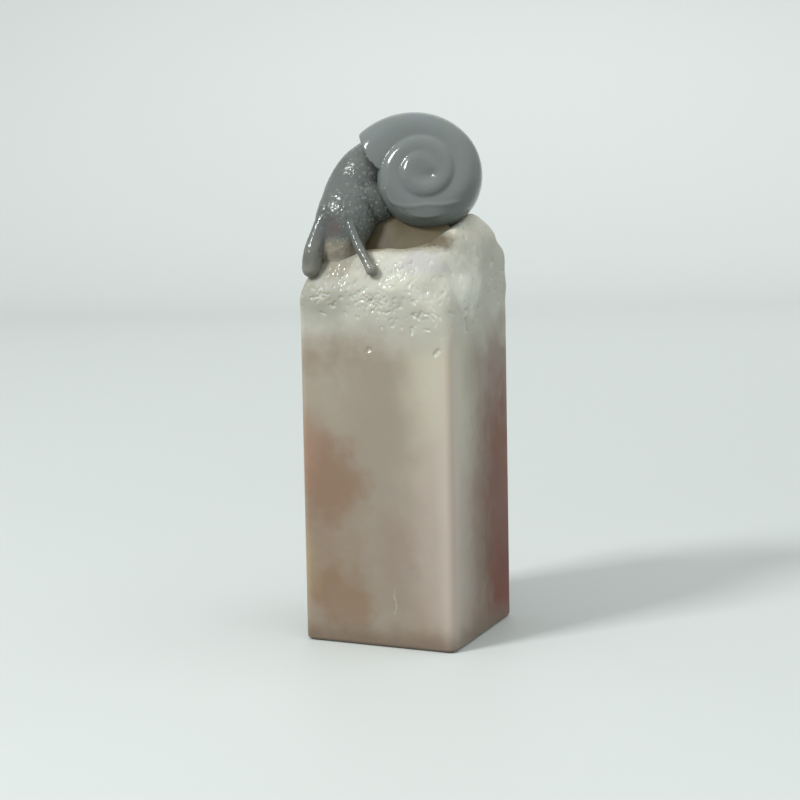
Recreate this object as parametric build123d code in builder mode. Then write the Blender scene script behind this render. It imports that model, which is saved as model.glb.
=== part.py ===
from build123d import *
import os
from math import cos, hypot, radians, sin

# A seal stamp: a square block of stone whose top is dressed as rock, with a snail crawling over it.
# All lengths are in millimetres and all angles in degrees.
# The seal face is at Z 0. X runs to the right along the broad front, and Y runs away from it.

# Block
stone_width = 25.0
shelf_height = 60.0
side_draft = 0.14
upright_radius = 1.2
seal_edge_radius = 0.7

# Rock on top of the block: how far each shoulder falls, and how far in from its side it starts
front_fall = 5.5
front_reach = 4.5
right_fall = 2.3
right_reach = 3.0
back_fall = 4.2
back_reach = 3.4
left_fall = 4.5
left_reach = 4.0
# Rises and hollows of the rock: a height, a reach, and a place in shares of half the stone's width
hump_height = 5.35
hump_reach = 5.4
hump_place_shares = (0.90, 0.32)
corner_hollow = 4.5
corner_hollow_reach = 4.0
corner_hollow_place_shares = (1.0, -1.0)
left_hollow = 0.4
left_hollow_reach = 6.0
left_hollow_place_shares = (-1.0, -0.6)
ground_cells = 26
ground_overrun = 1.0

# Shell: a tube that shrinks evenly as it winds about an axis, and flares again at its lip
shell_radius = 13.4
shell_turns = 3.0
flare_share = 0.2
flare_turns = 0.3
tube_centre_share = 0.57
tube_width_share = 0.39
tube_depth_share = 0.53
spire_share = 0.6
wound_turns = 2.45
lip_angle = 150.0
lip_spare_angle = 25.0
lip_cut_angle = 143.0
lip_slant = 36.0
axis_turn = 20.0
axis_rise = 15.0
# The apex: its place in shares of half the stone's width, and its rise over the shelf in shell radii
apex_place_shares = (0.432, -0.4)
apex_rise_share = 0.888
nub_radius = 1.2
columella_radius = 2.6
sections_per_winding = 6
windings = 5

# Foot
foot_rise = 4.0
foot_sink = 1.5
foot_place_shares = (0.0, 0.14, 0.36, 0.6, 0.86, 1.06)
foot_width_shares = (0.5, 0.84, 0.98, 1.0, 0.84, 0.4)
foot_rise_shares = (0.7, 1.25, 1.4, 1.05, 0.75, 0.35)
# The foot's ends and sides, in shares of half the stone's width
foot_length_shares = (-0.64, 0.816)
foot_side_shares = (-0.544, 0.272)

# Neck and head: the place that the head stoops to, in shares of half the stone's width, and its depth in the rock
stoop_place_shares = (-0.66, -0.72)
stoop_sink = 1.7
neck_width = 9.6
neck_tuck = 1.0
# Places along the middle: shares of the way from the middle of the shell's mouth to that place
neck_place_shares = (
    (-0.13, 0.0, -0.05),
    (0.44, 0.25, 0.13),
    (0.69, 0.45, 0.31),
    (0.61, 0.65, 0.475),
    (0.69, 0.80, 0.64),
    (0.76, 0.86, 0.82),
    (0.74, 0.80, 0.98),
    (0.74, 0.77, 1.16),
)
neck_width_shares = (0.86, 0.88, 0.98, 0.94, 0.80, 0.72, 0.66)
neck_depth_shares = (0.96, 0.86, 0.86, 0.84, 0.74, 0.66, 0.62)
# The neck's first section, in shares of the tube's width and depth at the mouth
mouth_fill_shares = (0.66, 0.6)

# Eye stalks: root, bend and tip in the same shares, then the stalk's and the bulb's diameters
left_stalk_diameter = 2.4
left_bulb_diameter = 2.9
left_stalk_shares = ((1.06, 0.925, 0.50), (1.35, 1.175, 0.78), (1.48, 1.25, 1.06))
right_stalk_diameter = 1.3
right_bulb_diameter = 1.9
right_stalk_shares = ((0.35, 1.0, 0.56), (-0.27, 1.175, 0.85), (-0.83, 1.30, 1.075))
stalk_base_share = 1.3

half_width = stone_width / 2


def shoulder(inside, reach, fall):
    """How far the ground has fallen at a distance inside one side of the stone."""
    return fall * max(0.0, 1 - inside / reach) ** 2


def swell(x, y, place_shares, reach):
    """A round swell of the ground: 1 at its place and a half at its reach."""
    place_x, place_y = (share * half_width for share in place_shares)
    return 2 ** -(((x - place_x) ** 2 + (y - place_y) ** 2) / reach**2)


def ground_height(x, y):
    """Height of the rock over the seal face."""
    across_fall = max(
        shoulder(half_width + x, left_reach, left_fall), shoulder(half_width - x, right_reach, right_fall)
    )
    along_fall = max(
        shoulder(half_width + y, front_reach, front_fall), shoulder(half_width - y, back_reach, back_fall)
    )
    return (
        shelf_height
        + hump_height * swell(x, y, hump_place_shares, hump_reach)
        - corner_hollow * swell(x, y, corner_hollow_place_shares, corner_hollow_reach)
        - left_hollow * swell(x, y, left_hollow_place_shares, left_hollow_reach)
        - hypot(across_fall, along_fall)
    )


def ground_face():
    """The rock's surface, a little wider than the stone."""
    span = 2 * (half_width + ground_overrun)
    steps = [span * (i / ground_cells - 1 / 2) for i in range(ground_cells + 1)]
    return Face.make_surface_from_array_of_points(
        [[Vector(x, y, ground_height(x, y)) for x in steps] for y in steps]
    )


with BuildPart() as seal_block:
    with BuildSketch():
        RectangleRounded(stone_width, stone_width, upright_radius)
    extrude(amount=shelf_height + 2 * hump_height, taper=side_draft)
    fillet(seal_block.faces().sort_by(Axis.Z)[0].edges(), seal_edge_radius)
    extrude(to_extrude=ground_face(), amount=shelf_height, dir=(0, 0, 1), mode=Mode.SUBTRACT)

# The shell's axis leaves its apex towards the front, a little to the right and upwards.
axis = Vector(
    sin(radians(axis_turn)) * cos(radians(axis_rise)),
    -cos(radians(axis_turn)) * cos(radians(axis_rise)),
    sin(radians(axis_rise)),
)
across = Vector(0, 0, 1).cross(axis).normalized()
apex_x, apex_y = (share * half_width for share in apex_place_shares)
apex = Vector(apex_x, apex_y, shelf_height + shell_radius * apex_rise_share)


def outward(angle):
    """The direction out from the shell's axis at an angle, seen from the apex."""
    return across * cos(radians(angle)) + axis.cross(across) * sin(radians(angle))


def tube_reach(turns):
    """How far the tube's outer side lies from the axis, a number of turns in from the lip."""
    flare = flare_share * max(0.0, 1 - turns / flare_turns) ** 2
    return shell_radius * ((1 - flare_share) * (1 - turns / shell_turns) + flare)


def tube_plane(turns):
    """The half plane through the axis, a number of turns in from the lip: X runs out and Y up the axis."""
    out = outward(lip_angle - 360 * turns)
    return Plane(origin=apex, x_dir=out, z_dir=out.cross(axis))


# The lip is cut slanting, from its outer end in towards the body whorl.
lip_end = apex + outward(lip_cut_angle) * tube_reach((lip_angle - lip_cut_angle) / 360)
lip_normal = outward(lip_cut_angle + 180 - lip_slant).cross(axis)

with BuildPart() as snail_shell:
    first_turns = -lip_spare_angle / 360
    winding_turns = (wound_turns - first_turns) / windings
    for winding in range(windings):
        for step in range(sections_per_winding + 1):
            turns = first_turns + winding_turns * (winding + step / sections_per_winding)
            reach = tube_reach(turns)
            with BuildSketch(tube_plane(turns)):
                with Locations((reach * tube_centre_share, -reach * spire_share)):
                    Ellipse(reach * tube_width_share, reach * tube_depth_share)
        loft()
        if winding == 0:
            split(bisect_by=Plane(origin=lip_end, x_dir=axis, z_dir=lip_normal), keep=Keep.BOTTOM)
    with Locations(apex - axis * nub_radius):
        Sphere(nub_radius)
    # The pillar in the middle, which the whorls wind round
    with BuildSketch(Plane(origin=apex - axis * nub_radius, z_dir=-axis)):
        Circle(nub_radius)
    with BuildSketch(Plane(origin=apex - axis * tube_reach(flare_turns), z_dir=-axis)):
        Circle(columella_radius)
    loft()
    add(seal_block.part, mode=Mode.SUBTRACT)

with BuildPart() as snail_foot:
    foot_head_x, foot_tail_x = (share * half_width for share in foot_length_shares)
    foot_front_y, foot_back_y = (share * half_width for share in foot_side_shares)
    foot_middle_y = (foot_front_y + foot_back_y) / 2
    for place_share, width_share, rise_share in zip(foot_place_shares, foot_width_shares, foot_rise_shares):
        foot_x = foot_head_x + (foot_tail_x - foot_head_x) * place_share
        with BuildSketch(Plane(origin=(foot_x, foot_middle_y, shelf_height - foot_sink), z_dir=(1, 0, 0))):
            Ellipse((foot_rise + foot_sink) * rise_share, (foot_back_y - foot_front_y) * width_share / 2)
    loft()
    add(seal_block.part, mode=Mode.SUBTRACT)
    add(snail_shell.part, mode=Mode.SUBTRACT)


mouth = tube_plane(0).from_local_coords((shell_radius * tube_centre_share, -shell_radius * spire_share, 0))
stoop_x, stoop_y = (share * half_width for share in stoop_place_shares)
stoop = Vector(stoop_x, stoop_y, shelf_height - stoop_sink)


def snail_place(shares):
    """A point of the snail, from its shares of the way from the shell's mouth to where it stoops."""
    way = stoop - mouth
    return mouth + Vector(way.X * shares[0], way.Y * shares[1], way.Z * shares[2])


neck_line = Spline([snail_place(shares) for shares in neck_place_shares])
with BuildPart() as snail_neck:
    mouth_radii = (
        shell_radius * tube_width_share * mouth_fill_shares[0],
        shell_radius * tube_depth_share * mouth_fill_shares[1],
    )
    neck_radii = [
        (neck_width * width_share / 2, neck_width * depth_share / 2)
        for width_share, depth_share in zip(neck_width_shares, neck_depth_shares)
    ]
    for place, radii in zip(neck_place_shares, [mouth_radii, *neck_radii]):
        along = neck_line.tangent_at(neck_line.param_at_point(snail_place(place)))
        with BuildSketch(Plane(origin=snail_place(place), x_dir=across - along * across.dot(along), z_dir=along)):
            Ellipse(*radii)
    loft()
    # The neck ends a little way inside the lip.
    split(bisect_by=Plane(origin=lip_end - lip_normal * neck_tuck, x_dir=axis, z_dir=lip_normal), keep=Keep.TOP)
    add(seal_block.part, mode=Mode.SUBTRACT)
    add(snail_shell.part, mode=Mode.SUBTRACT)
    add(snail_foot.part, mode=Mode.SUBTRACT)


eye_stalks = {}
for name, place_shares, diameter, bulb_diameter in (
    ("left_eye_stalk", left_stalk_shares, left_stalk_diameter, left_bulb_diameter),
    ("right_eye_stalk", right_stalk_shares, right_stalk_diameter, right_bulb_diameter),
):
    root, bend, tip = (snail_place(shares) for shares in place_shares)
    stalk_line = Spline([root, bend, tip])
    with BuildPart() as eye_stalks[name]:
        for position, size in ((0, diameter * stalk_base_share), (1 / 2, diameter), (1, diameter)):
            with BuildSketch(Plane(origin=stalk_line @ position, z_dir=stalk_line % position)):
                Circle(size / 2)
        loft()
        with Locations(tip):
            Sphere(bulb_diameter / 2)
        add(seal_block.part, mode=Mode.SUBTRACT)
        add(snail_neck.part, mode=Mode.SUBTRACT)

pieces = {
    "seal_block": seal_block,
    "snail_foot": snail_foot,
    "snail_neck": snail_neck,
    "snail_shell": snail_shell,
    **eye_stalks,
}

os.makedirs("parts", exist_ok=True)
for name, piece in pieces.items():
    piece.part.label = name
    export_step(piece.part, f"parts/{name}.step")
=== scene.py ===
import random
from math import cos, hypot, pi, radians, sin

import bmesh
import bpy
from mathutils import Matrix, Vector, kdtree, noise


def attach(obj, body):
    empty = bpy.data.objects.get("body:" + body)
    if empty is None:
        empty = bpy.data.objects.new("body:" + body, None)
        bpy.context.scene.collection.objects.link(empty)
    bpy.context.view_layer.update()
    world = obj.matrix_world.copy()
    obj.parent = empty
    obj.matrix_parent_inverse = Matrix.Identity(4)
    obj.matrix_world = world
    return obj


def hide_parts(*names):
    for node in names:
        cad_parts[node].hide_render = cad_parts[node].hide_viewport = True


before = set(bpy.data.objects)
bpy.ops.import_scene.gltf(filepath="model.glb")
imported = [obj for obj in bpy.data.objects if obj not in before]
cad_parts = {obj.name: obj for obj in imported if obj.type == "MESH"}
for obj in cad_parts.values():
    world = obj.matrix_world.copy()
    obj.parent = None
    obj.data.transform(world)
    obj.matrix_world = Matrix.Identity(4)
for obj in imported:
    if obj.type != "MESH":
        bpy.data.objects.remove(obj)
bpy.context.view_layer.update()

# The dressed seal stone. Shapes are worked in millimetres, in the CAD model's own axes,
# and go to metres when a piece is finished. The named sizes are part.py's.

MM = 0.001
chisel = random.Random(11)

# Stone
stone_width = 25.0
half_width = stone_width / 2
shelf_height = 60.0
side_draft = 0.14
upright_radius = 1.2
seal_edge_radius = 0.7
front_fall, front_reach = 5.5, 4.5
right_fall, right_reach = 2.3, 3.0
back_fall, back_reach = 4.2, 3.4
left_fall, left_reach = 4.5, 4.0
# Each swell of the rock: height, reach, place in shares of half the stone's width
swells = ((5.35, 5.4, 0.90, 0.32), (-4.5, 4.0, 1.0, -1.0), (-0.4, 6.0, -1.0, -0.6))

# Shell
shell_radius = 13.4
shell_turns = 3.0
flare_share, flare_turns = 0.2, 0.3
tube_centre_share, tube_width_share, tube_depth_share = 0.57, 0.39, 0.53
spire_share = 0.6
wound_turns = 2.45
lip_angle, lip_spare_angle, lip_cut_angle, lip_slant = 150.0, 25.0, 143.0, 36.0
axis_turn, axis_rise = radians(20.0), radians(15.0)
apex = Vector((0.432 * half_width, -0.4 * half_width, shelf_height + 0.888 * shell_radius))
axis = Vector((sin(axis_turn) * cos(axis_rise), -cos(axis_turn) * cos(axis_rise), sin(axis_rise)))
across = Vector((0, 0, 1)).cross(axis).normalized()
nub_radius, columella_radius = 1.2, 2.6


# Shaping helpers

def smooth_step(low, high, value):
    share = min(1.0, max(0.0, (value - low) / (high - low)))
    return share * share * (3 - 2 * share)


def through(points, share):
    """A point on the smooth line through the points; each may be a place or a few numbers."""
    place = share * (len(points) - 1)
    index = min(int(place), len(points) - 2)
    part = place - index
    before = points[max(index - 1, 0)]
    start, end = points[index], points[index + 1]
    after = points[min(index + 2, len(points) - 1)]
    result = []
    for a, b, c, d in zip(before, start, end, after):
        result.append(
            0.5 * (2 * b + (c - a) * part + (2 * a - 5 * b + 4 * c - d) * part**2
                   + (3 * b - a - 3 * c + d) * part**3)
        )
    return result


def polish(bm, verts, passes):
    """Rounds the stone's edges as rubbing does."""
    for _ in range(passes):
        bmesh.ops.smooth_vert(
            bm, verts=verts, factor=0.5, use_axis_x=True, use_axis_y=True, use_axis_z=True
        )


def to_mesh(name, bm):
    mesh = bpy.data.meshes.new(name)
    bm.to_mesh(mesh)
    bm.free()
    return mesh


def add_object(name, data):
    """Puts a mesh, lamp or camera into the scene."""
    item = bpy.data.objects.new(name, data)
    bpy.context.scene.collection.objects.link(item)
    return item


def add_smooth(name, bm, material):
    bmesh.ops.recalc_face_normals(bm, faces=bm.faces)
    for face in bm.faces:
        face.smooth = True
    mesh = to_mesh(name, bm)
    mesh.materials.append(material)
    return add_object(name, mesh)


def extrude(bm, edges):
    """Draws the edges out into new faces, and gives the new vertices and edges."""
    grown = bmesh.ops.extrude_edge_only(bm, edges=edges)["geom"]
    return [[part for part in grown if isinstance(part, kind)] for kind in (bmesh.types.BMVert, bmesh.types.BMEdge)]


def skin(bm, grain):
    """One closed skin over everything in the mesh, with faces of about the given size."""
    mesh = to_mesh("rough", bm)
    rough = add_object("rough", mesh)
    remesh = rough.modifiers.new("skin", "REMESH")
    remesh.mode = "VOXEL"
    remesh.voxel_size = grain
    depsgraph = bpy.context.evaluated_depsgraph_get()
    skinned = bpy.data.meshes.new_from_object(rough.evaluated_get(depsgraph))
    result = bmesh.new()
    result.from_mesh(skinned)
    bpy.data.objects.remove(rough)
    bpy.data.meshes.remove(mesh)
    bpy.data.meshes.remove(skinned)
    return result


def unit_section(bm, points, squareness):
    """A ring that reaches 1 each way: 2 is round, more is squarer and less is hollower."""
    ring = bmesh.ops.create_circle(bm, segments=points, radius=1)["verts"]
    for vert in ring:
        x, y = vert.co.x, vert.co.y
        stretch = (abs(x) ** squareness + abs(y) ** squareness) ** (-1 / squareness)
        vert.co = (x * stretch, y * stretch, 0)
    return ring


def close_holes(bm):
    """Caps every open loop of the mesh."""
    loose = [edge for edge in bm.edges if len(edge.link_faces) == 1]
    if loose:
        bmesh.ops.holes_fill(bm, edges=loose, sides=0)


def finish_piece(name, bm, finish, node):
    """Makes the mesh a Blender piece that stands for the CAD node."""
    bmesh.ops.scale(bm, vec=(MM, MM, MM), verts=bm.verts)
    piece = add_smooth(name, bm, finish)
    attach(piece, "root")
    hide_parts(node)


# The rock and its tool marks

def ground_height(x, y):
    """Height of the rock over the seal face, as in the CAD model."""
    def shoulder(inside, reach, fall):
        return fall * max(0.0, 1 - inside / reach) ** 2

    across_fall = max(
        shoulder(half_width + x, left_reach, left_fall), shoulder(half_width - x, right_reach, right_fall)
    )
    along_fall = max(
        shoulder(half_width + y, front_reach, front_fall), shoulder(half_width - y, back_reach, back_fall)
    )
    height = shelf_height - hypot(across_fall, along_fall)
    for rise, reach, share_x, share_y in swells:
        distance = (x - share_x * half_width) ** 2 + (y - share_y * half_width) ** 2
        height += rise * 2 ** -(distance / reach**2)
    return height


def rounded_square(x, y):
    """Moves a place of the full square into the square with rounded corners."""
    straight = half_width - upright_radius
    over_x, over_y = abs(x) - straight, abs(y) - straight
    if over_x > 0 and over_y > 0:
        pull = max(over_x, over_y) / hypot(over_x, over_y)
        x = (straight + over_x * pull) * (1 if x > 0 else -1)
        y = (straight + over_y * pull) * (1 if y > 0 else -1)
    return x, y


# The dressing's lower edge at the front left, its dip to the right and its rise to the back,
# the X and Y over which it dips and rises, and how softly it sets in below and above
dressing_low, dressing_dip, dressing_rise = 50.5, 2.5, 3.0
dip_span, rise_span = (-9.0, 3.0), (-4.0, 6.0)
soft_below, soft_above = 1.0, 2.5


def rock_share(place):
    """1 where the stone is dressed as rock and 0 on its polished sides."""
    low = dressing_low - dressing_dip * smooth_step(*dip_span, place.x)
    low += dressing_rise * smooth_step(*rise_span, place.y)
    return smooth_step(low - soft_below, low + soft_above, place.z)


# The stone's mesh: cells over its width, rows up each side, and the height where the rows close up
top_cells = 164
side_rows = 102
foot_rows = 6
plain_rows = 14
dense_height = 43.4
doubles_distance = 0.02
# How far in and down from the crest the edge is rubbed round, and how many times
crease_inside, crease_below, crease_passes = 2.6, 3.4, 45
# Slow and quick lumps: height and length
slow_lump, slow_length = 0.30, 3.6
quick_lump, quick_length = 0.04, 1.5
# The front right corner is dressed rounder and lower than the rest, from this height up.
worn_corner_low, worn_corner_high, worn_corner_radius = 45.0, 56.0, 5.5
worn_fall, worn_reach = 3.6, 5.0
# The Y over which that wear sets in at the front and dies out to the back
worn_from, worn_to = (-13.5, -8.0), (-4.0, 3.5)
# The rock banks up round the tail of the foot.
bank_x, bank_y, bank_height, bank_reach = 9.9, -3.2, 1.9, 2.6


def dressed_height(x, y):
    """Height of the rock with its worn shoulder, front right."""
    worn = worn_fall * max(0.0, 1 - (half_width - x) / worn_reach) ** 2
    share = (1 - smooth_step(*worn_to, y)) * smooth_step(*worn_from, y)
    bank = bank_height * 2 ** -(((x - bank_x) ** 2 + (y - bank_y) ** 2) / bank_reach**2)
    return ground_height(x, y) - worn * share + bank


def wear_corner(bm):
    """Rounds the front right upright edge more and more towards the top."""
    for vert in bm.verts:
        radius = upright_radius
        radius += (worn_corner_radius - upright_radius) * smooth_step(worn_corner_low, worn_corner_high, vert.co.z)
        straight = half_width * (1 - vert.co.z * sin(radians(side_draft)) / half_width) - radius
        over_x, over_y = vert.co.x - straight, -vert.co.y - straight
        if vert.co.z > worn_corner_low and over_x > 0 and over_y > 0:
            distance = hypot(over_x, over_y)
            if distance > radius:
                vert.co.x = straight + over_x * radius / distance
                vert.co.y = -straight - over_y * radius / distance


def build_seal_stone(finish):
    bm = bmesh.new()
    bmesh.ops.create_grid(bm, x_segments=top_cells, y_segments=top_cells, size=half_width)
    for vert in bm.verts:
        x, y = rounded_square(vert.co.x, vert.co.y)
        crest = dressed_height(x, y)
        draft = 1 - crest * sin(radians(side_draft)) / half_width
        vert.co = (x * draft, y * draft, crest)
    for quarter in range(4):
        turn = Matrix.Rotation(quarter * pi / 2, 4, "Z")
        side = bmesh.ops.create_grid(bm, x_segments=top_cells, y_segments=side_rows, size=1.0)
        for vert in side["verts"]:
            row = round((vert.co.y + 1) / 2 * side_rows)
            x, y = rounded_square(vert.co.x * half_width, -half_width)
            place = turn @ Vector((x, y, 0))
            crest = dressed_height(place.x, place.y)
            inset = 0.0
            if row <= foot_rows:
                angle = pi / 2 * row / foot_rows
                height = seal_edge_radius * (1 - cos(angle))
                inset = seal_edge_radius * (1 - sin(angle))
            elif row <= foot_rows + plain_rows:
                share = (row - foot_rows) / plain_rows
                height = seal_edge_radius + (dense_height - seal_edge_radius) * share
            else:
                share = (row - foot_rows - plain_rows) / (side_rows - foot_rows - plain_rows)
                height = dense_height + (crest - dense_height) * share
            draft = 1 - (height * sin(radians(side_draft)) + inset) / half_width
            vert.co = (place.x * draft, place.y * draft, height)
    bmesh.ops.remove_doubles(bm, verts=bm.verts, dist=doubles_distance)
    close_holes(bm)
    bmesh.ops.recalc_face_normals(bm, faces=bm.faces)
    wear_corner(bm)

    # The edge between the rock and the sides is rubbed round.
    crease = []
    for vert in bm.verts:
        x, y, z = vert.co
        if z > dense_height:
            inside = half_width - max(abs(x), abs(y))
            below = dressed_height(x, y) - z
            if inside < crease_inside and below < crease_below:
                crease.append(vert)
    polish(bm, crease, crease_passes)
    # Slow lumps of the dressed rock
    bm.normal_update()
    for vert in bm.verts:
        share = rock_share(vert.co) if vert.co.z > dense_height else 0.0
        if share > 0:
            lump = slow_lump * noise.noise(vert.co / slow_length)
            lump += quick_lump * noise.noise(vert.co / quick_length + Vector((9, 4, 2)))
            vert.co += vert.normal * (lump * share)
    bm.normal_update()
    cut_tool_marks(bm)
    finish_piece("seal_stone", bm, finish, "seal_block")


# Single marks in the polished sides: place, half length, width, depth and heading in degrees
single_marks = (
    ((-0.6, -12.4, 45.3), 0.15, 0.45, 0.20, 0),
    ((10.2, -12.4, 45.1), 0.35, 0.50, 0.22, 50),
    ((6.3, -12.4, 48.2), 0.30, 0.50, 0.22, 90),
    ((12.4, -5.9, 48.7), 0.45, 0.95, 0.45, 80),
    ((12.4, -5.9, 50.9), 0.25, 0.50, 0.30, 20),
    ((12.4, 5.5, 57.6), 0.35, 0.55, 0.30, 60),
)
# Marks are cut where the dressing is this strong.
least_rock_share = 0.25
# Spacing of the marks: the least, what thins them out low down and round the sides, and their patches
least_spacing, low_thinning, side_thinning = 1.02, 1.0, 0.6
patch_spacing, patch_length = 1.2, 2.6
# How far a place faces aside or back for the marks to thin out there
side_facing = (0.55, 0.85)
# Each mark: turn either way, half length, width and depth
mark_turn = 0.9
mark_half_lengths = (0.02, 0.1, 0.22, 0.38)
mark_widths, mark_depths = (0.18, 0.29), (0.10, 0.19)
second_stroke_chance, second_stroke_turn = 0.2, 1.3
second_stroke_shift = Vector((0.25, 0.0, 0.2))
# How unevenly a mark's outline runs, and over what length
outline_waver, outline_length = 0.4, 0.4


def ready_for_marks(bm):
    """The mesh's layer for marks, its vertices and a tree that finds them by place."""
    marked = bm.verts.layers.float.new("marks")
    verts = list(bm.verts)
    tree = kdtree.KDTree(len(verts))
    for index, vert in enumerate(verts):
        tree.insert(vert.co, index)
    tree.balance()
    return marked, verts, tree


def dent(vert, marked, normal, depth, nearness):
    """Sinks a vertex into a dent, at a share of the dent's half width from its middle."""
    cut = (1 - nearness**2) ** 2
    vert.co -= normal * (depth * cut)
    vert[marked] = max(vert[marked], cut)


def cut_tool_marks(bm):
    """Cuts the short strokes of a small chisel into the rock, and the single marks below it."""
    marked, verts, tree = ready_for_marks(bm)
    places = [vert for vert in verts if vert.co.z > dense_height and rock_share(vert.co) > least_rock_share]
    chisel.shuffle(places)
    strokes = []
    taken = []
    for vert in places:
        share = rock_share(vert.co)
        side = smooth_step(*side_facing, max(vert.normal.x, -vert.normal.x, vert.normal.y))
        spacing = least_spacing + low_thinning * (1 - share) + side_thinning * side
        spacing += patch_spacing * noise.noise(vert.co / patch_length)
        if any((vert.co - other).length < spacing for other in taken):
            continue
        taken.append(vert.co.copy())
        normal = vert.normal.copy()
        heading = chisel.uniform(-mark_turn, mark_turn) + chisel.choice((0, 0, pi / 2))
        half_length = chisel.choice(mark_half_lengths)
        width = chisel.uniform(*mark_widths)
        depth = chisel.uniform(*mark_depths)
        strokes.append((vert.co.copy(), normal, heading, half_length, width, depth))
        if chisel.random() < second_stroke_chance:
            aside = vert.co + second_stroke_shift
            strokes.append((aside, normal, heading + second_stroke_turn, half_length, width, depth))
    for place, half_length, width, depth, heading in single_marks:
        spot, index, _ = tree.find(Vector(place))
        strokes.append((spot, verts[index].normal.copy(), radians(heading), half_length, width, depth))
    for spot, normal, heading, half_length, width, depth in strokes:
        level = normal.cross(Vector((0, 0, 1)))
        if level.length < 0.05:
            level = Vector((1, 0, 0))
        level.normalize()
        along = level * cos(heading) + normal.cross(level) * sin(heading)
        for _, index, _ in tree.find_range(spot, half_length + width):
            offset = verts[index].co - spot
            run = max(-half_length, min(half_length, offset.dot(along)))
            distance = (offset - along * run - normal * offset.dot(normal)).length
            distance *= 1 + outline_waver * noise.noise(verts[index].co / outline_length)
            if distance < width:
                dent(verts[index], marked, normal, depth, distance / width)


# The coiled shell

def outward(angle):
    return across * cos(angle) + axis.cross(across) * sin(angle)


def tube_reach(turns):
    flare = flare_share * max(0.0, 1 - turns / flare_turns) ** 2
    return shell_radius * ((1 - flare_share) * (1 - turns / shell_turns) + flare)


def tube_place(turns):
    """Turns a section of unit width and depth into the tube's section, some turns in from the lip."""
    reach = tube_reach(turns)
    out = outward(radians(lip_angle - 360 * turns))
    along = out.cross(axis)
    proud = smooth_step(*proud_turns, turns)
    middle = apex + out * (reach * tube_centre_share) - axis * (reach * spire_share - proud_height * proud)
    width = reach * tube_width_share * (1 - proud_pinch * proud)
    columns = (out * width, axis * (reach * tube_depth_share), along * reach)
    place = Matrix.Identity(4)
    for index, column in enumerate(columns):
        place.col[index].xyz = column
    place.col[3].xyz = middle
    return place


section_points = 72
steps_per_turn = 96
mouth_turns = 0.14
tube_squareness = 2.5
# Fine ridges left between the polisher's flats: first and last turn, height, angles round the section
shell_ridges = (
    (0.50, 0.90, 0.22, ((44,), (60,), (73,), (80,), (73,), (61,), (50,), (60,), (70,))),
    (0.57, 0.73, 0.19, ((46,), (50,), (50,), (50,), (46,))),
)
ridge_fade, ridge_spread = 0.06, radians(3.4)
# The inner whorls stand a little proud of the outer one, from the first of these turns to the second.
proud_turns, proud_height, proud_pinch = (0.85, 1.2), 0.45, 0.06
# The mouth: width of its wall, how deep it is sunk, and the rounding of its edge
wall_width, mouth_depth, rim_round = 0.9, 0.9, 0.6
shell_grain = 0.16
# The innermost whorls are worn nearly flush: distance from the axis and passes, down to a depth
shell_wear = ((3.6, 10), (3.2, 50), (2.4, 60), (1.5, 40))
shell_wear_depth = 3.5
# The lip's tip is rubbed round too: its share of the reach, distance from it and passes
lip_tip_share, lip_tip_wear, lip_tip_passes = 0.96, 2.2, 30
# So is the whole rim of the mouth: distance from the cut, distance from its end and passes
rim_thickness, rim_span, rim_passes = 1.0, 16.0, 18
# The rear corner of the lip is rubbed round: distance from it and passes
corner_wear = ((3.4, 50), (2.2, 70))


def wind_tube(bm, first, last):
    """Winds the tube on from the turns of one section to those of another."""
    ring = unit_section(bm, section_points, tube_squareness)
    bmesh.ops.transform(bm, matrix=tube_place(first), verts=ring)
    rings = [(first, ring)]
    edges = list({edge for vert in ring for edge in vert.link_edges})
    steps = max(2, round(abs(last - first) * steps_per_turn))
    turns = first
    for step in range(1, steps + 1):
        following = first + (last - first) * step / steps
        ring, edges = extrude(bm, edges)
        bmesh.ops.transform(bm, matrix=tube_place(following) @ tube_place(turns).inverted(), verts=ring)
        turns = following
        rings.append((turns, ring))
    return rings


def raise_ridges(rings):
    for turns, ring in rings:
        place = tube_place(turns)
        back = place.inverted()
        for first, last, height, angles in shell_ridges:
            strength = smooth_step(first, first + ridge_fade, turns)
            strength *= 1 - smooth_step(last - ridge_fade, last, turns)
            if strength == 0:
                continue
            angle = radians(through(angles, (turns - first) / (last - first))[0])
            facing = Vector((cos(angle), sin(angle), 0))
            push = (place.to_3x3() @ facing).normalized()
            for vert in ring:
                local = back @ vert.co
                spread = Vector((local.x, local.y, 0)).normalized().angle(facing) / ridge_spread
                if spread < 3:
                    vert.co += push * (height * strength * 2 ** -(spread**2))


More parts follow.
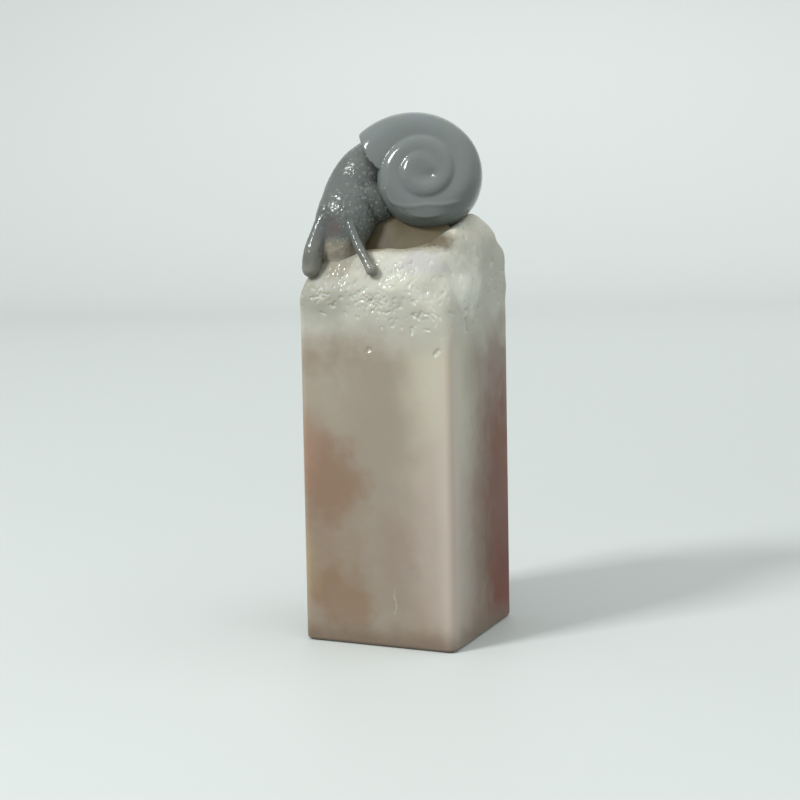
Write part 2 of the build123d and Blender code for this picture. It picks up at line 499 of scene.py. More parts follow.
def build_shell(finish):
    bm = bmesh.new()
    wind_tube(bm, mouth_turns, -lip_spare_angle / 360)
    reach_at_lip = tube_reach((lip_angle - lip_cut_angle) / 360)
    lip_end = apex + outward(radians(lip_cut_angle)) * reach_at_lip
    lip_normal = outward(radians(lip_cut_angle + 180 - lip_slant)).cross(axis).normalized()
    whole = list(bm.verts) + list(bm.edges) + list(bm.faces)
    cut = bmesh.ops.bisect_plane(
        bm, geom=whole, plane_co=lip_end, plane_no=lip_normal, clear_outer=True, dist=0.0001
    )["geom_cut"]
    close_holes(bm)
    bmesh.ops.recalc_face_normals(bm, faces=bm.faces)
    cut_edges = {part for part in cut if isinstance(part, bmesh.types.BMEdge) and part.is_valid}
    mouth_face = max((face for face in bm.faces if cut_edges.issuperset(face.edges)),
                     key=lambda face: face.calc_area(), default=None)
    if mouth_face is not None:
        rim = list(mouth_face.edges)
        bmesh.ops.inset_region(bm, faces=[mouth_face], thickness=wall_width, depth=0.0, use_even_offset=True)
        bmesh.ops.translate(bm, vec=-lip_normal * mouth_depth, verts=list(mouth_face.verts))
        bmesh.ops.bevel(
            bm, geom=rim, offset=rim_round, offset_type="OFFSET", affect="EDGES",
            segments=4, profile=0.5, material=-1,
        )
    tube = bmesh.new()
    rings = wind_tube(tube, mouth_turns - 0.02, wound_turns)
    raise_ridges(rings)
    close_holes(tube)
    scratch = to_mesh("tube", tube)
    bm.from_mesh(scratch)
    bpy.data.meshes.remove(scratch)
    bmesh.ops.create_uvsphere(
        bm, u_segments=32, v_segments=20, radius=nub_radius,
        matrix=Matrix.Translation(apex - axis * nub_radius),
    )
    pillar_length = tube_reach(flare_turns) - nub_radius
    pillar_middle = apex - axis * (nub_radius + pillar_length / 2)
    upright = axis.to_track_quat("Z", "Y").to_matrix().to_4x4()
    bmesh.ops.create_cone(
        bm, cap_ends=True, segments=40, radius1=columella_radius, radius2=nub_radius, depth=pillar_length,
        matrix=Matrix.Translation(pillar_middle) @ upright,
    )
    bmesh.ops.recalc_face_normals(bm, faces=bm.faces)
    bm = skin(bm, shell_grain)
    polish(bm, bm.verts, 3)
    for reach, passes in shell_wear:
        worn = [
            vert for vert in bm.verts
            if (vert.co - apex).cross(axis).length < reach and (vert.co - apex).dot(axis) > -shell_wear_depth
        ]
        polish(bm, worn, passes)
    lip_tip = apex + outward(radians(lip_cut_angle)) * (reach_at_lip * lip_tip_share)
    lip_tip -= axis * (reach_at_lip * spire_share)
    polish(bm, [vert for vert in bm.verts if (vert.co - lip_tip).length < lip_tip_wear], lip_tip_passes)
    mouth_rim = [
        vert for vert in bm.verts
        if abs((vert.co - lip_end).dot(lip_normal)) < rim_thickness and (vert.co - lip_end).length < rim_span
    ]
    polish(bm, mouth_rim, rim_passes)
    corner = max(mouth_rim, key=lambda vert: (apex - vert.co).dot(axis) - vert.co.z).co.copy()
    for reach, passes in corner_wear:
        polish(bm, [vert for vert in bm.verts if (vert.co - corner).length < reach], passes)
    finish_piece("coiled_shell", bm, finish, "snail_shell")


# The snail's neck, head and eye stalks

mouth_middle = tube_place(0).to_translation()
stoop = Vector((-0.66 * half_width, -0.72 * half_width, shelf_height - 1.7))


def snail_place(shares):
    way = stoop - mouth_middle
    return mouth_middle + Vector((way.x * shares[0], way.y * shares[1], way.z * shares[2]))


neck_places = [
    snail_place(shares) for shares in (
        (-0.13, 0.0, -0.05), (0.44, 0.25, 0.13), (0.69, 0.45, 0.31), (0.61, 0.65, 0.475),
        (0.69, 0.80, 0.64), (0.76, 0.86, 0.82), (0.74, 0.80, 0.98), (0.74, 0.77, 1.16),
    )
]
neck_radii = (
    (3.6, 4.2), (4.13, 4.5), (4.22, 4.13), (4.7, 4.13),
    (4.5, 4.03), (3.84, 3.55), (3.5, 3.2), (3.2, 3.0),
)
# Hollows pressed into the face between the stalks: place, reach and depth
face_hollows = (((-7.9, -10.8, 63.4), 1.7, 0.8), ((-7.2, -10.6, 61.2), 1.8, 0.5))
hollow_way = Vector((0.25, 1.0, 0.0))
# The skin's fine lumps, and the top of the head, which is left the roughest out to these distances
skin_lump, skin_length = 0.03, 0.55
crown, crown_lump, crown_reach = Vector((-6.2, -10.4, 66.8)), 0.05, (2.5, 5.0)
head_grain, foot_grain = 0.14, 0.2
# Each stalk: root, bend and tip, then the radii along it
left_stalk = (
    [snail_place(s) for s in ((1.06, 0.925, 0.50), (1.35, 1.175, 0.78), (1.48, 1.25, 1.06))],
    ((1.9,), (1.5,), (1.28,), (1.5,), (1.42,)),
)
right_stalk = (
    [snail_place(s) for s in ((0.39, 1.0, 0.55), (-0.24, 1.175, 0.84), (-0.83, 1.30, 1.075))],
    ((1.2,), (0.9,), (0.76,), (0.74,), (0.92,)),
)


# The body between the neck and the foot, under the shell
body_places = [neck_places[2], Vector((-3.4, -4.0, 66.8)), Vector((-1.8, -2.2, 66.4))]
body_radii = ((3.6,), (3.2,), (2.6,))
# Steps along a stalk's outline, by which it is parted from the neck
outline_steps = 80


def draw_limb(bm, places, radii, rings, points, level, squareness=2.0):
    """A closed limb through the places; radii are given across it and square to that."""
    section = unit_section(bm, points, squareness)
    edges = list({edge for vert in section for edge in vert.link_edges})
    before = Matrix.Identity(4)
    for ring in range(rings + 1):
        share = ring / rings
        middle = Vector(through(places, share))
        after, prior = min(share + 0.01, 1.0), max(share - 0.01, 0.0)
        ahead = (Vector(through(places, after)) - Vector(through(places, prior))).normalized()
        side = (level - ahead * level.dot(ahead)).normalized()
        size = through(radii, share)
        place = Matrix.Identity(4)
        place.col[0].xyz = side * size[0]
        place.col[1].xyz = ahead.cross(side) * size[-1]
        place.col[2].xyz = ahead
        place.col[3].xyz = middle
        if ring:
            section, edges = extrude(bm, edges)
        bmesh.ops.transform(bm, matrix=place @ before.inverted(), verts=section)
        before = place
    close_holes(bm)


def part_limb(bm, places, radii, root_share, spare):
    """Parts a limb from the common skin along its own outline, and closes both sides inwards to its root."""
    line = []
    for step in range(outline_steps + 1):
        share = root_share + (1 - root_share) * step / outline_steps
        line.append((Vector(through(places, share)), through(radii, share)[0] + spare))

    def belongs(face):
        middle = face.calc_center_median()
        return any((middle - spot).length < radius for spot, radius in line)

    start = min(bm.faces, key=lambda face: (face.calc_center_median() - places[-1]).length)
    limb_faces = {start}
    front = [start]
    while front:
        for edge in front.pop().edges:
            for face in edge.link_faces:
                if face not in limb_faces and belongs(face):
                    limb_faces.add(face)
                    front.append(face)
    limb = bmesh.new()
    limb_faces = sorted(limb_faces, key=lambda face: face.index)
    twins = {}
    for vert in (vert for face in limb_faces for vert in face.verts):
        if vert not in twins:
            twins[vert] = limb.verts.new(vert.co)
    for face in limb_faces:
        limb.faces.new([twins[vert] for vert in face.verts])
    bmesh.ops.delete(bm, geom=limb_faces, context="FACES")
    for side in (limb, bm):
        rim = [edge for edge in side.edges if len(edge.link_faces) == 1]
        for edge in rim:
            edge.smooth = False
        bmesh.ops.pointmerge(side, verts=extrude(side, rim)[0], merge_co=line[0][0])
    return limb


dot_tries, dot_widths, dot_depths = 780, (0.2, 0.38), (0.03, 0.08)
# The share of the tries that is cut on the left, what the right has more, and how far a place faces for it
left_dots, more_dots, dot_facing = 0.2, 0.8, (-0.3, 0.5)


def stipple(bm):
    """Small punched dots over the neck's skin, most of them on its right."""
    marked, verts, tree = ready_for_marks(bm)
    bm.normal_update()
    for _ in range(dot_tries):
        vert = verts[chisel.randrange(len(verts))]
        width = chisel.uniform(*dot_widths)
        depth = chisel.uniform(*dot_depths)
        if chisel.random() > left_dots + more_dots * smooth_step(*dot_facing, vert.normal.x):
            continue
        spot, normal = vert.co.copy(), vert.normal.copy()
        for _, index, distance in tree.find_range(spot, width):
            dent(verts[index], marked, normal, depth, distance / width)


def build_head(neck_finish, stalk_finish):
    bm = bmesh.new()
    draw_limb(bm, neck_places, neck_radii, rings=60, points=56, level=across)
    draw_limb(bm, body_places, body_radii, rings=12, points=40, level=Vector((0, 0, 1)))
    for places, radii in (left_stalk, right_stalk):
        draw_limb(bm, places, radii, rings=40, points=32, level=Vector((1, 0, 0)))
        bmesh.ops.create_uvsphere(
            bm, u_segments=24, v_segments=16, radius=radii[-1][0], matrix=Matrix.Translation(places[-1])
        )
    bmesh.ops.recalc_face_normals(bm, faces=bm.faces)
    bm = skin(bm, head_grain)
    polish(bm, bm.verts, 6)
    for spot, reach, depth in face_hollows:
        for vert in bm.verts:
            distance = (vert.co - Vector(spot)).length
            if distance < 2 * reach:
                vert.co += hollow_way * (depth * 2 ** -((distance / reach) ** 2))
    bm.normal_update()
    for vert in bm.verts:
        on_head = 1 - smooth_step(*crown_reach, (vert.co - crown).length)
        vert.co += vert.normal * ((skin_lump + crown_lump * on_head) * noise.noise(vert.co / skin_length))
    left = part_limb(bm, *left_stalk, root_share=0.3, spare=0.15)
    right = part_limb(bm, *right_stalk, root_share=0.2, spare=0.12)
    stipple(bm)
    finish_piece("neck_and_head", bm, neck_finish, "snail_neck")
    finish_piece("left_stalk", left, stalk_finish, "left_eye_stalk")
    finish_piece("right_stalk", right, stalk_finish, "right_eye_stalk")


# The foot

foot_rise, foot_sink, foot_cut_depth = 4.0, 1.5, 2.5
foot_place_shares = (0.0, 0.14, 0.36, 0.6, 0.84, 1.0)
foot_width_shares = (0.5, 0.92, 1.02, 0.96, 0.7, 0.3)
foot_rise_shares = (0.9, 1.65, 1.75, 1.28, 1.02, 0.6)
foot_squareness = 1.3
foot_head_x, foot_tail_x = -0.64 * half_width, 0.816 * half_width
foot_front_y, foot_back_y = -0.544 * half_width, 0.272 * half_width


def build_foot(finish):
    middle_y = (foot_front_y + foot_back_y) / 2
    places, radii = [], []
    for place, width, rise in zip(foot_place_shares, foot_width_shares, foot_rise_shares):
        x = foot_head_x + (foot_tail_x - foot_head_x) * place
        places.append(Vector((x, middle_y, shelf_height - foot_sink)))
        radii.append(((foot_back_y - foot_front_y) * width / 2, (foot_rise + foot_sink) * rise))
    bm = bmesh.new()
    draw_limb(bm, places, radii, rings=60, points=64, level=Vector((0, 1, 0)), squareness=foot_squareness)
    below = list(bm.verts) + list(bm.edges) + list(bm.faces)
    bmesh.ops.bisect_plane(
        bm, geom=below, plane_co=(0, 0, shelf_height - foot_cut_depth), plane_no=(0, 0, -1), clear_outer=True
    )
    close_holes(bm)
    bmesh.ops.recalc_face_normals(bm, faces=bm.faces)
    bm = skin(bm, foot_grain)
    polish(bm, bm.verts, 12)
    finish_piece("crawling_foot", bm, finish, "snail_foot")


# Stone finishes

def linear(red, green, blue):
    """A colour given as it looks on a screen, 0 to 255, as the shader takes it."""
    values = []
    for channel in (red, green, blue):
        share = channel / 255
        values.append(share / 12.92 if share <= 0.04045 else ((share + 0.055) / 1.055) ** 2.4)
    return (*values, 1.0)


class Finish:
    """A stone material and the nodes that colour it by place."""

    def __init__(self, name):
        self.material = bpy.data.materials.new(name)
        self.material.use_nodes = True
        self.nodes = self.material.node_tree.nodes
        self.links = self.material.node_tree.links
        self.shader = self.nodes["Principled BSDF"]
        self.place = self.nodes.new("ShaderNodeTexCoord").outputs["Object"]

    def link(self, source, target):
        self.links.new(source, target)

    def cloud(self, size, detail=4.0, rough=0.55, stretch=(1, 1, 1), shift=0.0):
        """Noise from 0 to 1 with lumps of the given size in millimetres."""
        mapping = self.nodes.new("ShaderNodeMapping")
        mapping.inputs["Scale"].default_value = [1 / part for part in stretch]
        mapping.inputs["Location"].default_value = (shift, shift, shift)
        self.link(self.place, mapping.inputs["Vector"])
        texture = self.nodes.new("ShaderNodeTexNoise")
        texture.inputs["Scale"].default_value = 1 / (size * MM)
        texture.inputs["Detail"].default_value = detail
        texture.inputs["Roughness"].default_value = rough
        self.link(mapping.outputs["Vector"], texture.inputs["Vector"])
        return texture.outputs["Fac"]

    def attribute(self, name):
        reader = self.nodes.new("ShaderNodeAttribute")
        reader.attribute_name = name
        return reader.outputs["Fac"]

    def ramp(self, value, low, high, to_low=0.0, to_high=1.0):
        step = self.nodes.new("ShaderNodeMapRange")
        step.interpolation_type = "SMOOTHSTEP"
        for socket, number in zip(("From Min", "From Max", "To Min", "To Max"), (low, high, to_low, to_high)):
            step.inputs[socket].default_value = number
        self.link(value, step.inputs["Value"])
        return step.outputs["Result"]

    def sum(self, kind, first, second):
        step = self.nodes.new("ShaderNodeMath")
        step.operation = kind
        for socket, part in zip(step.inputs, (first, second)):
            if isinstance(part, (int, float)):
                socket.default_value = part
            else:
                self.link(part, socket)
        return step.outputs[0]

    def blob(self, middle, radii, waver=0.0, size=4.0):
        """1 in the middle of a soft patch and 0 outside it; sizes in millimetres."""
        mapping = self.nodes.new("ShaderNodeMapping")
        mapping.inputs["Location"].default_value = [-m / r for m, r in zip(middle, radii)]
        mapping.inputs["Scale"].default_value = [1 / (r * MM) for r in radii]
        self.link(self.place, mapping.inputs["Vector"])
        length = self.nodes.new("ShaderNodeVectorMath")
        length.operation = "LENGTH"
        self.link(mapping.outputs["Vector"], length.inputs[0])
        value = length.outputs["Value"]
        if waver:
            value = self.sum("ADD", value, self.ramp(self.cloud(size, shift=middle[2]), 0.25, 0.75, -waver, waver))
        return self.ramp(value, 0.25, 1.0, 1.0, 0.0)

    def height(self, low, high, waver=0.0, size=3.0):
        """0 below the low height and 1 over the high one, in millimetres."""
        parts = self.nodes.new("ShaderNodeSeparateXYZ")
        self.link(self.place, parts.inputs[0])
        value = parts.outputs["Z"]
        if waver:
            value = self.sum("ADD", value, self.ramp(self.cloud(size, shift=low), 0.2, 0.8, -waver * MM, waver * MM))
        return self.ramp(value, low * MM, high * MM)

    def mix(self, share, first, second):
        step = self.nodes.new("ShaderNodeMix")
        step.data_type = "RGBA"
        sockets = [socket for socket in step.inputs if socket.enabled]
        for socket, part in zip(sockets, (share, first, second)):
            if isinstance(part, (int, float, tuple)):
                socket.default_value = part
            else:
                self.link(part, socket)
        return next(socket for socket in step.outputs if socket.enabled)

    def polish(self, colour, roughness, bump, bump_height, glow, glow_reach=(1.6, 1.1, 0.7)):
        """Joins the colour to the shader, with its gloss, fine relief and light under the skin."""
        self.link(colour, self.shader.inputs["Base Color"])
        if isinstance(roughness, float):
            self.shader.inputs["Roughness"].default_value = roughness
        else:
            self.link(roughness, self.shader.inputs["Roughness"])
        self.shader.inputs["Subsurface Weight"].default_value = glow
        self.shader.inputs["Subsurface Radius"].default_value = glow_reach
        self.shader.inputs["Subsurface Scale"].default_value = MM
        step = self.nodes.new("ShaderNodeBump")
        step.inputs["Strength"].default_value = 1.0
        step.inputs["Distance"].default_value = bump_height * MM
        self.link(bump, step.inputs["Height"])
        self.link(step.outputs["Normal"], self.shader.inputs["Normal"])
        return self.material


def tint(finish, colour, patch, strength, tone):
    """Lays a tone over the colour where the patch is."""
    return finish.mix(finish.sum("MULTIPLY", patch, strength), colour, linear(*tone))


def rock_colours(finish):
    """The pale layer, stained in patches, with painted light on its right shoulder and a painted highlight down the
    front right upright edge, coloured by place.
    """
    rock = finish.mix(finish.cloud(6.0, 5.0), linear(182, 182, 168), linear(198, 198, 186))
    stains_and_painted_light = (
        # middle, radii, waver, its size, strength, tone
        ((7, -10, 59), (8, 4, 3.5), 0.3, 3.0, 0.6, (180, 178, 180)),
        ((11, 0, 64), (9, 10, 5), 0.2, 4.0, 0.7, (212, 209, 196)),
        ((-10, -12, 55), (9, 9, 8), 0.2, 4.0, 0.6, (154, 154, 142)),
        ((-6.5, -10.5, 58), (5, 4, 3), 0.25, 2.0, 0.7, (138, 130, 110)),
        # Painted light: the right shoulder is painted paler, as if lit
        ((13.5, -6, 56), (4.5, 9, 8), 0.2, 4.0, 0.9, (232, 232, 220)),
        ((-12.5, -12.5, 56), (4, 6, 6), 0.2, 3.0, 0.6, (134, 134, 122)),
    )
    for middle, radii, waver, size, strength, tone in stains_and_painted_light:
        rock = tint(finish, rock, finish.blob(middle, radii, waver, size), strength, tone)
    # The plain block: brown grey on the left, pinker and paler towards the upright edge
    left = finish.mix(finish.height(42, 20, 4, 10.0), linear(172, 164, 149), linear(152, 133, 114))
    left = finish.mix(finish.ramp(finish.cloud(9.0, 4.0, shift=3.0), 0.35, 0.7), left, linear(158, 146, 130))
    edge = finish.mix(finish.height(44, 18, 4, 10.0), linear(200, 196, 178), linear(184, 172, 160))
    colour = finish.mix(finish.blob((2, -14, 26), (9, 16, 50), 0.15, 8.0), left, linear(162, 152, 137))
    colour = finish.mix(finish.blob((12.5, -12.5, 30), (11, 12, 70), 0.12, 8.0), colour, edge)
    stains_and_painted_light = (
        # Browner and yellower clouds on the front left
        ((-7, -12, 25), (7, 16, 9), 0.3, 5.0, 0.65, (142, 112, 88)),
        ((-13, -12, 30), (5, 12, 9), 0.3, 5.0, 0.6, (166, 134, 112)),
        ((-6, -12, 7), (7, 14, 7), 0.3, 4.0, 0.6, (140, 112, 84)),
        ((-13, -12, 12), (4, 12, 9), 0.2, 4.0, 0.7, (172, 154, 122)),
        ((3, -12, 14), (5, 12, 9), 0.3, 5.0, 0.4, (152, 130, 118)),
        # The right side turns grey brown and then orange red towards its back edge
        ((13, 10, 34), (12, 17, 34), 0.12, 6.0, 0.8, (140, 122, 110)),
        ((13, 12, 16), (12, 19, 30), 0.12, 5.0, 0.85, (128, 96, 74)),
        ((13, 8, 20), (9, 9, 25), 0.25, 4.0, 0.95, (124, 60, 8)),
        ((13, 9, 6), (8, 9, 13), 0.25, 3.0, 0.95, (128, 46, 2)),
        ((12.5, 13.5, 26), (4, 4, 12), 0.2, 4.0, 0.6, (150, 98, 68)),
        ((14.5, 6, 14), (4.5, 17, 42), 0.1, 6.0, 0.6, (86, 38, 12)),
        # A painted highlight: a narrow band of light tone down the front right upright edge
        ((12.6, -12.6, 28), (3.4, 5.0, 60), 0.1, 6.0, 0.7, (202, 192, 180)),
    )
    for middle, radii, waver, size, strength, tone in stains_and_painted_light:
        colour = tint(finish, colour, finish.blob(middle, radii, waver, size), strength, tone)
    streaks = finish.ramp(finish.cloud(5.0, 4.0, stretch=(0.3, 0.3, 2.5), shift=5.0), 0.5, 0.75, 0.0, 0.35)
    aside = finish.blob((13, 7, 20), (5, 14, 34))
    colour = finish.mix(finish.sum("MULTIPLY", streaks, aside), colour, linear(96, 64, 46))
    colour = tint(finish, colour, finish.height(4.5, 0.5, 0.8, 4.0), 0.7, (122, 104, 88))
    return finish.mix(finish.height(43, 51, 2.5, 5.0), colour, rock)


def brown_seam(finish, colour):
    """Lays the brown seam under the snail over the pale colour and its marks."""
    brown = finish.mix(finish.cloud(3.0, 5.0), linear(96, 86, 62), linear(118, 106, 82))
    under_snail = finish.blob((-3, -2, 61), (15, 17, 12), 0.1, 4.0)
    seam = finish.sum("MULTIPLY", finish.height(59.7, 60.3, 0.3, 2.5), under_snail)
    colour = finish.mix(seam, colour, brown)
    colour = tint(finish, colour, finish.blob((2, -8, 60.3), (10, 2.6, 1.8), 0.3, 2.0), 0.5, (152, 144, 124))
    return tint(finish, colour, finish.blob((8.0, -5.4, 61.4), (4.0, 3.6, 2.6), 0.2, 2.0), 0.95, (106, 97, 79))


# Hairlines: ends in millimetres, half width, tone and strength
hairlines = (
    ((12.4, -5.2, 35.4), (12.4, -1.6, 30.2), 0.10, (96, 74, 60), 0.4),
    ((12.4, -2.2, 31.0), (12.4, 1.5, 25.8), 0.10, (84, 62, 48), 0.5),
    ((12.4, 1.1, 26.4), (12.4, 4.5, 21.2), 0.09, (76, 52, 40), 0.5),
    ((12.4, 0.2, 10.6), (12.4, 1.6, 6.3), 0.09, (70, 48, 36), 0.45),
    ((2.7, -12.4, 5.0), (2.9, -12.4, 9.2), 0.12, (200, 186, 172), 0.7),
    ((-4.0, -12.4, 30.0), (-2.6, -12.4, 24.0), 0.06, (130, 112, 98), 0.35),
)


def draw_hairline(finish, colour, start, end, half_width_of_line, tone, strength):
    """A fine wavering line across the stone's skin."""
    start, end = Vector(start) * MM, Vector(end) * MM
    middle, way = (start + end) / 2, (end - start).normalized()
    face = Vector((1, 0, 0)) if abs(middle.x) > abs(middle.y) else Vector((0, 1, 0))
    if middle.dot(face) < 0:
        face = -face
    sideways = way.cross(face).normalized()
    offset = finish.nodes.new("ShaderNodeVectorMath")
    offset.operation = "SUBTRACT"
    finish.link(finish.place, offset.inputs[0])
    offset.inputs[1].default_value = middle

    def measure(direction):
        step = finish.nodes.new("ShaderNodeVectorMath")
        step.operation = "DOT_PRODUCT"
        finish.link(offset.outputs[0], step.inputs[0])
        step.inputs[1].default_value = direction
        return step.outputs["Value"]

    waver = finish.ramp(finish.cloud(2.5, 4.0, shift=start.z * 100), 0.2, 0.8, -0.5 * MM, 0.5 * MM)
    aside = finish.sum("ABSOLUTE", finish.sum("ADD", measure(sideways), waver), 0.0)
    line = finish.ramp(aside, 0.0, half_width_of_line * MM, strength, 0.0)
    half_length = (end - start).length / 2
    ends = finish.ramp(finish.sum("ABSOLUTE", measure(way), 0.0), half_length * 0.8, half_length, 1.0, 0.0)
    outer = finish.ramp(measure(face), -0.6 * MM, -0.3 * MM)
    line = finish.sum("MULTIPLY", finish.sum("MULTIPLY", line, ends), outer)
    return finish.mix(line, colour, linear(*tone))


def pale_stone():
    finish = Finish("pale stone")
    colour = rock_colours(finish)
    for hairline in hairlines:
        colour = draw_hairline(finish, colour, *hairline)
    marks = finish.attribute("marks")
    # The marks are painted paler: partly the paler chipped stone in them, partly painted glints
    colour = finish.mix(finish.ramp(marks, 0.35, 0.95, 0.0, 0.55), colour, linear(227, 228, 218))
    colour = brown_seam(finish, colour)
    plain = finish.height(46, 54, 1.5, 3.0)
    plain = finish.ramp(plain, 0.0, 1.0, 0.34, 0.55)
    roughness = finish.sum("MULTIPLY", plain, finish.ramp(marks, 0.0, 0.5, 1.0, 0.16))
    finish.shader.inputs["IOR"].default_value = 1.38
    return finish.polish(colour, roughness, finish.cloud(0.6, 3.0), 0.012, glow=0.55, glow_reach=(2.6, 1.8, 1.2))


def brown_stone():
    finish = Finish("brown stone")
    brown = finish.mix(finish.cloud(1.8, 6.0), linear(56, 49, 30), linear(100, 89, 62))
    # Paler towards the rock's swell on the right
    brown = tint(finish, brown, finish.blob((8, -3, 62), (11, 12, 8), 0.25, 2.5), 0.6, (98, 88, 64))
    brown = tint(finish, brown, finish.blob((11.5, -3, 62), (4.0, 12, 8), 0.15, 3.0), 0.9, (146, 138, 120))
    return finish.polish(brown, 0.6, finish.cloud(0.8, 3.0), 0.02, glow=0.1)


def dark_grey_stone(name, patch_strength, gloss):
    """Dark grey, with light dots where the mesh is marked, painted shade where the neck runs under the shell, and
    the brown of the seam low on the face.
    """
    finish = Finish(name)
    grey = finish.mix(finish.cloud(2.4, 6.0, 0.6), linear(80, 86, 84), linear(108, 113, 109))
    light = finish.ramp(finish.cloud(0.8, 2.0, shift=2.0), 0.64, 0.74, 0.0, 0.25)
    grey = finish.mix(light, grey, linear(150, 154, 148))
    hollow = finish.blob((-7.5, -11.0, 63.2), (2.6, 5.0, 2.6), 0.25, 1.5)
    grey = tint(finish, grey, hollow, 0.7 * patch_strength, (92, 80, 78))
    # Painted shade: a dark grey patch where the neck runs in under the shell
    painted_shade_under_shell = finish.blob((-2.0, -4.0, 66.5), (4.5, 6.0, 4.5), 0.2, 2.0)
    grey = tint(finish, grey, painted_shade_under_shell, 0.75 * patch_strength, (58, 62, 58))
    patch = finish.mix(finish.cloud(1.1, 5.0), linear(98, 91, 77), linear(160, 153, 136))
    share = finish.sum("MULTIPLY", finish.height(62.6, 60.2, 0.7, 2.0), patch_strength)
    colour = finish.mix(share, grey, patch)
    share = finish.sum("MULTIPLY", finish.height(59.2, 57.6, 0.5, 2.0), patch_strength)
    colour = finish.mix(share, colour, linear(170, 168, 154))
    marks = finish.attribute("marks")
    colour = finish.mix(finish.ramp(marks, 0.25, 0.8, 0.0, 0.5), colour, linear(144, 148, 142))
    roughness = finish.ramp(marks, 0.0, 0.5, gloss, 0.12)
    return finish.polish(colour, roughness, finish.cloud(0.35, 3.0), 0.03, glow=0.15)


def blue_grey_stone():
    finish = Finish("blue grey stone")
    colour = finish.mix(finish.cloud(7.0, 4.0), linear(106, 113, 111), linear(119, 126, 123))
    blue = finish.ramp(finish.cloud(5.0, 3.0, shift=7.0), 0.5, 0.72, 0.0, 0.5)
    colour = finish.mix(blue, colour, linear(112, 118, 124))
    return finish.polish(colour, 0.13, finish.cloud(2.0, 2.0), 0.02, glow=0.12)


# Build

build_seal_stone(pale_stone())
build_shell(blue_grey_stone())
build_head(
    dark_grey_stone("dark grey stone", patch_strength=1.0, gloss=0.25),
    dark_grey_stone("eye stalk stone", patch_strength=0.25, gloss=0.15),
)
build_foot(brown_stone())

# Stage, lamps and camera

# The camera fitted to the stone: its place in millimetres and its three directions
camera_place = Vector((99.32, -228.42, 66.88))
right = Vector((0.91606, 0.40060, -0.01859))
down = Vector((0.03184, -0.11887, -0.99240))
forward = Vector((-0.39977, 0.90851, -0.12165))
floor_depth, backdrop_distance, backdrop_height, backdrop_bend = 0.9, 0.75, 1.1, 0.3
sheet_half_width, bend_steps = 1.6, 12


def plain_stage():
    """A pale sheet that runs back along the floor and bends up behind the stone."""
    colour = bpy.data.materials.new("pale sheet")
    colour.use_nodes = True
    nodes, links = colour.node_tree.nodes, colour.node_tree.links
    shader = nodes["Principled BSDF"]
    shader.inputs["Roughness"].default_value = 0.55
    ray = nodes.new("ShaderNodeLightPath")
    seen = nodes.new("ShaderNodeMath")
    seen.operation, seen.use_clamp = "ADD", True
    links.new(ray.outputs["Is Camera Ray"], seen.inputs[0])
    both = nodes.new("ShaderNodeMath")
    both.operation, both.use_clamp = "ADD", True
    links.new(ray.outputs["Is Glossy Ray"], both.inputs[0])
    links.new(ray.outputs["Is Transmission Ray"], both.inputs[1])
    links.new(both.outputs[0], seen.inputs[1])
    tone = nodes.new("ShaderNodeMix")
    tone.data_type = "RGBA"
    tone.inputs[6].default_value = linear(118, 120, 119)
    tone.inputs[7].default_value = linear(206, 211, 209)
    links.new(seen.outputs[0], tone.inputs[0])
    links.new(tone.outputs[2], shader.inputs["Base Color"])
    bm = bmesh.new()
    forward_flat = Vector((forward.x, forward.y, 0)).normalized()
    sideways = Vector((forward_flat.y, -forward_flat.x, 0))
    front = [bm.verts.new(sideways * side * sheet_half_width - forward_flat * floor_depth) for side in (-1, 1)]
    edges = [bm.edges.new(front)]
    route = [forward_flat * backdrop_distance]
    for step in range(1, bend_steps + 1):
        angle = pi / 2 * step / bend_steps
        route.append(forward_flat * (backdrop_distance + backdrop_bend * sin(angle))
                     + Vector((0, 0, backdrop_bend * (1 - cos(angle)))))
    route.append(route[-1] + Vector((0, 0, backdrop_height)))
    before = -forward_flat * floor_depth
    for place in route:
        grown, edges = extrude(bm, edges)
        bmesh.ops.translate(bm, vec=place - before, verts=grown)
        before = place
    add_smooth("floor", bm, colour)


def soft_lamp(name, place, target, width, height, watts):
    lamp = bpy.data.lights.new(name, "AREA")
    lamp.shape = "RECTANGLE"
    lamp.size, lamp.size_y = width, height
    lamp.energy = watts
    holder = add_object(name, lamp)
    way = Vector(target) - Vector(place)
    holder.location = place
    holder.rotation_euler = way.to_track_quat("-Z", "Y").to_euler()


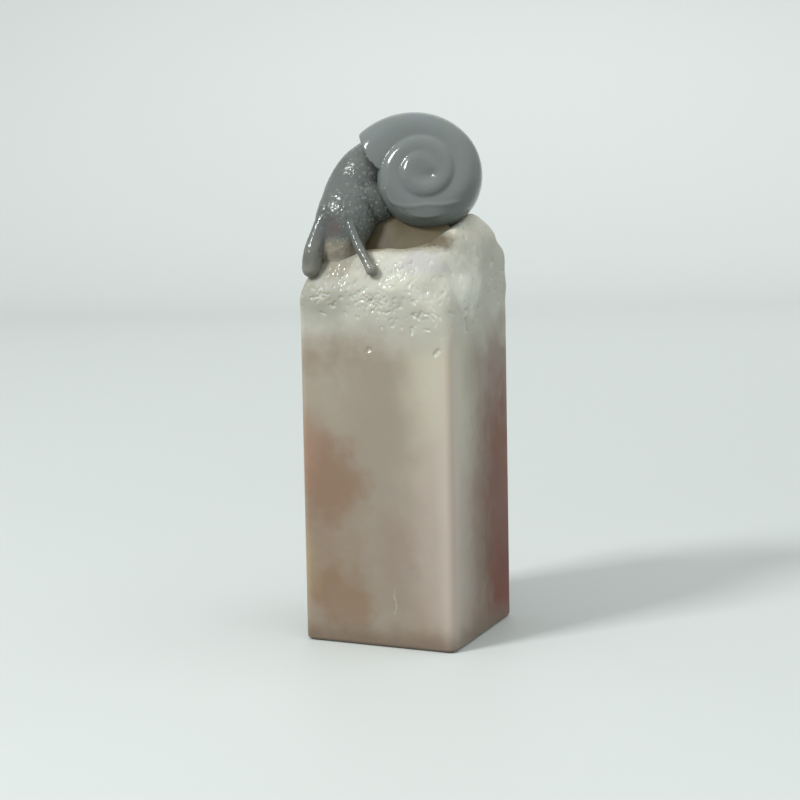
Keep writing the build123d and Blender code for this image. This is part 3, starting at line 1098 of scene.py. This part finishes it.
plain_stage()
soft_lamp("key", (-0.36, -0.56, 0.62), target=(0, 0, 0.05), width=0.18, height=0.18, watts=5.3)
soft_lamp("backdrop", (0.0, 0.35, 1.0), target=(-0.2, 1.6, 0.7), width=0.8, height=0.3, watts=6.0)

bright_side = Vector((0.86, 0.0, 0.51))
horizon_strength, overhead_strength, side_strength = 0.66, 0.99, 0.5


def soft_room():
    """A pale room, brighter overhead than at eye height, and brighter on the right."""
    world = bpy.data.worlds.new("soft room")
    world.use_nodes = True
    nodes, links = world.node_tree.nodes, world.node_tree.links
    parts = nodes.new("ShaderNodeSeparateXYZ")
    links.new(nodes.new("ShaderNodeTexCoord").outputs["Generated"], parts.inputs[0])
    strength = nodes.new("ShaderNodeMapRange")
    strength.inputs["To Min"].default_value = horizon_strength
    strength.inputs["To Max"].default_value = overhead_strength
    links.new(parts.outputs["Z"], strength.inputs["Value"])
    aside = nodes.new("ShaderNodeVectorMath")
    aside.operation = "DOT_PRODUCT"
    links.new(nodes.new("ShaderNodeTexCoord").outputs["Generated"], aside.inputs[0])
    aside.inputs[1].default_value = bright_side
    extra = nodes.new("ShaderNodeMapRange")
    extra.inputs["To Max"].default_value = side_strength
    links.new(aside.outputs["Value"], extra.inputs["Value"])
    both = nodes.new("ShaderNodeMath")
    links.new(strength.outputs["Result"], both.inputs[0])
    links.new(extra.outputs["Result"], both.inputs[1])
    links.new(both.outputs[0], nodes["Background"].inputs["Strength"])
    nodes["Background"].inputs["Color"].default_value = linear(225, 229, 228)
    bpy.context.scene.world = world


soft_room()

camera_data = bpy.data.cameras.new("camera")
camera_data.lens = 72.18
camera_data.sensor_width = 36.0
camera_data.clip_start, camera_data.clip_end = 0.01, 20.0
camera = add_object("camera", camera_data)
stand = Matrix.Identity(4)
stand.col[0].xyz, stand.col[1].xyz, stand.col[2].xyz = right, -down, -forward
stand.col[3].xyz = camera_place * MM
camera.matrix_world = stand
bpy.context.scene.camera = camera
bpy.context.scene.view_settings.view_transform = "Standard"
